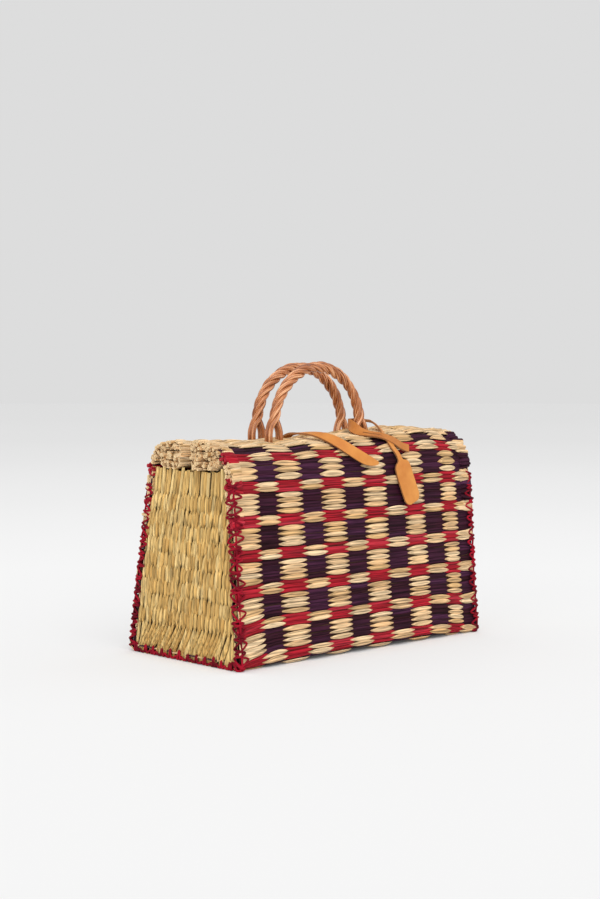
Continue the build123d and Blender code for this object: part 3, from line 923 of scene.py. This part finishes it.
def tanned(name, dark, light):
    """Smooth vegetable-tanned leather: soft clouds of colour and fine pores."""
    material, nodes, links = new_material(name)
    surface = nodes["Principled BSDF"]
    surface.inputs["Specular IOR Level"].default_value = 0.3
    surface.inputs["Roughness"].default_value = 0.55
    place = nodes.new("ShaderNodeTexCoord")
    clouds = nodes.new("ShaderNodeTexNoise")
    clouds.inputs["Scale"].default_value = 60
    clouds.inputs["Detail"].default_value = 4
    hide = nodes.new("ShaderNodeValToRGB")
    hide.color_ramp.elements[0].position = 0.3
    hide.color_ramp.elements[0].color = (*dark, 1)
    hide.color_ramp.elements[1].position = 0.7
    hide.color_ramp.elements[1].color = (*light, 1)
    pores = nodes.new("ShaderNodeTexVoronoi")
    pores.inputs["Scale"].default_value = 1600
    relief = nodes.new("ShaderNodeBump")
    relief.inputs["Strength"].default_value = 0.35
    relief.inputs["Distance"].default_value = 0.0002
    links.new(place.outputs["Object"], clouds.inputs["Vector"])
    links.new(place.outputs["Object"], pores.inputs["Vector"])
    links.new(clouds.outputs["Fac"], hide.inputs["Fac"])
    links.new(hide.outputs["Color"], surface.inputs["Base Color"])
    links.new(pores.outputs["Distance"], relief.inputs["Height"])
    links.new(relief.outputs["Normal"], surface.inputs["Normal"])
    return material


leather = tanned("tan_leather", (0.54, 0.182, 0.032), (0.67, 0.275, 0.058))
# a darker copy of the same leather: painted shade for the looped band, whose face turns down and away from
# the lamps
shaded_leather = tanned("shaded_leather", (0.40, 0.125, 0.018), (0.54, 0.20, 0.040))

cut_edge, nodes, links = new_material("cut_leather_edge")
surface = nodes["Principled BSDF"]
surface.inputs["Roughness"].default_value = 0.75
place = nodes.new("ShaderNodeTexCoord")
fibres = nodes.new("ShaderNodeTexNoise")
fibres.inputs["Scale"].default_value = 900
flesh = nodes.new("ShaderNodeValToRGB")
flesh.color_ramp.elements[0].color = (0.20, 0.07, 0.018, 1)
flesh.color_ramp.elements[1].color = (0.42, 0.17, 0.05, 1)
links.new(place.outputs["Object"], fibres.inputs["Vector"])
links.new(fibres.outputs["Fac"], flesh.inputs["Fac"])
links.new(flesh.outputs["Color"], surface.inputs["Base Color"])


reed_top = 3.2


def on_flap(x, s, lift):
    """Middle of a strip lying on the front of the mat, and the way its face looks."""
    place, higher = (
        on_mat(np.array(float(x)), np.array(float(s)), np.array(lift + height)) * 1000
        for height in (reed_top, reed_top + 1)
    )
    return (*place, *(higher - place))


strip_across = np.array([-1, -0.82, -0.5, -0.1, 0.1, 0.5, 0.82, 1])
slit_row = 3


def strip(name, stations, widths, ends, slit=None, finish=leather, thickness=1.9):
    """Leather strip through stations, each a place in millimetres and the way its face looks.

    The ends are how far the rounding of the first and the last end reaches, and
    the slit is where it starts and stops along the strip.
    """
    route = smooth_line([(*station, width) for station, width in zip(stations, widths)], 9)
    middle, facing, width = route[:, :3], route[:, 3:6], route[:, 6]
    onward = np.gradient(middle, axis=0)
    onward /= np.linalg.norm(onward, axis=1)[:, None]
    sideways = np.cross(onward, facing)
    sideways /= np.linalg.norm(sideways, axis=1)[:, None]
    travelled = np.concatenate(([0], np.cumsum(np.linalg.norm(np.diff(middle, axis=0), axis=1))))
    for from_end, roundness in zip((travelled, travelled[-1] - travelled), ends):
        if roundness:
            near = np.clip(from_end / roundness, 0, 1)
            width = width * (0.42 + 0.58 * np.sqrt(1 - (1 - near) ** 2))
    grid = middle[:, None] + sideways[:, None] * (strip_across[None, :, None] * width[:, None, None] / 2)
    number = np.arange(grid.shape[0] * len(strip_across)).reshape(-1, len(strip_across))
    faces = []
    for row in range(len(number) - 1):
        for k in range(len(strip_across) - 1):
            if slit and k == slit_row and slit[0] < travelled[row] < slit[1]:
                continue
            faces.append((number[row, k], number[row, k + 1], number[row + 1, k + 1], number[row + 1, k]))
    mesh = bpy.data.meshes.new(name)
    mesh.from_pydata((grid.reshape(-1, 3) / 1000).tolist(), [], [tuple(map(int, f)) for f in faces])
    mesh.materials.append(finish)
    mesh.materials.append(cut_edge)
    mesh.polygons.foreach_set("use_smooth", [True] * len(mesh.polygons))
    piece = put_out(name, mesh)
    body = piece.modifiers.new("thickness", "SOLIDIFY")
    body.thickness = thickness / 1000
    body.offset = 0
    body.material_offset_rim = 1
    softened = piece.modifiers.new("softened edge", "BEVEL")
    softened.width = 0.0003
    softened.segments = 2
    softened.limit_method = "ANGLE"
    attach(piece, "root")
    return piece


closing_strap = strip("closing_strap_leather", [
    (-41, -3.5, 185, 0, 1, 0),
    (-41, -4.5, 195.5, 0, 1, 0),
    (-37.5, -9.5, 203.0, -0.1, 0.5, 0.85),
    (-31.5, -20, 204.3, -0.05, 0, 1),
    (-27, -32, 203.8, -0.2, -0.1, 0.97),
    (-22.5, -44, 201.0, -0.42, -0.32, 0.85),
    (-18, -54.6, 196.2, -0.50, -0.58, 0.64),
    (-11.5, -61.8, 190.3, -0.45, -0.78, 0.42),
    (-3.5, -66.4, 184.6, -0.38, -0.88, 0.27),
    (5, -68.6, 180.0, -0.28, -0.93, 0.22),
    (12.5, -69.5, 177.6, -0.20, -0.95, 0.20),
    (17, -69.9, 176.6, -0.18, -0.96, 0.20),
    (21, -70.2, 175.9, -0.15, -0.96, 0.20),
], [11, 11, 11, 11, 10.8, 10.6, 10.6, 10.6, 10.6, 10.4, 8.2, 5.6, 2.4], (0, 1))
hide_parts("closing_strap")

# The tag strap: one strip of the same leather, looped round a leg of the front
# handle and drawn back through its own slit, with a paddle at its other end.
# The looped band is the darker part of it, its leather a darker copy painted in shade, and is a piece by
# itself here.

tag_band = strip("tag_strap_band", [
    (46, -11.5, 213.5, 0, 1, 0.1),
    (39.5, -13.0, 212.8, -0.5, 0.85, 0),
    (36.8, -17.5, 211.8, -0.95, 0.1, 0.2),
    (34.2, -25.0, 208.6, -0.75, -0.55, 0.35),
    (35.4, -32.0, 204.9, -0.45, -0.60, 0.65),
    (40.0, -41.0, 202.9, -0.15, -0.50, 0.85),
    (47.8, -48.9, 201.2, 0, -0.60, 0.80),
    (55.5, -56.6, 197.0, 0, -0.72, 0.70),
    (63.8, -60.8, 191.2, 0, -0.80, 0.60),
    (71.2, -63.8, 188.4, 0, -0.85, 0.52),
], [8.5, 9.5, 10, 10.5, 10.5, 10.5, 10.5, 10, 9.5, 9], (0, 0), slit=(32, 50), finish=shaded_leather)
tag_end = strip("tag_strap_paddle", [
    (46, -11.5, 213.5, 0, 1, 0.1),
    (54, -10.0, 214.8, 0.1, 0.7, 0.7),
    (63, -11.0, 215.4, 0.1, 0.2, 0.97),
    (68.6, -16.0, 214.3, 0.3, 0, 0.95),
    (67.0, -26.0, 209.6, 0.5, -0.3, 0.8),
    (61.5, -37.0, 204.8, 0.4, -0.5, 0.76),
    (56.3, -45.6, 200.0, 0.3, -0.6, 0.74),
    on_flap(52.0, 268, 0.4),
    on_flap(51.0, 260, 0.8),
    on_flap(53.5, 253.5, 1.2),
    on_flap(55.2, 248.6, 1.3),
    on_flap(55.9, 246.8, 1.3),
    on_flap(56.8, 244.6, 1.3),
    on_flap(58.4, 240, 1.3),
    on_flap(63.2, 227, 1.3),
    on_flap(67.6, 216, 1.4),
    on_flap(70.8, 208.0, 1.5),
], [8.5, 7.5, 6.5, 6, 6, 6, 6, 5.5, 5.5, 5.8, 7.0, 15.5, 20.5, 21.6, 22, 22, 21.5], (0, 8))
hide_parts("tag_strap")
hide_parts("tag_strap")
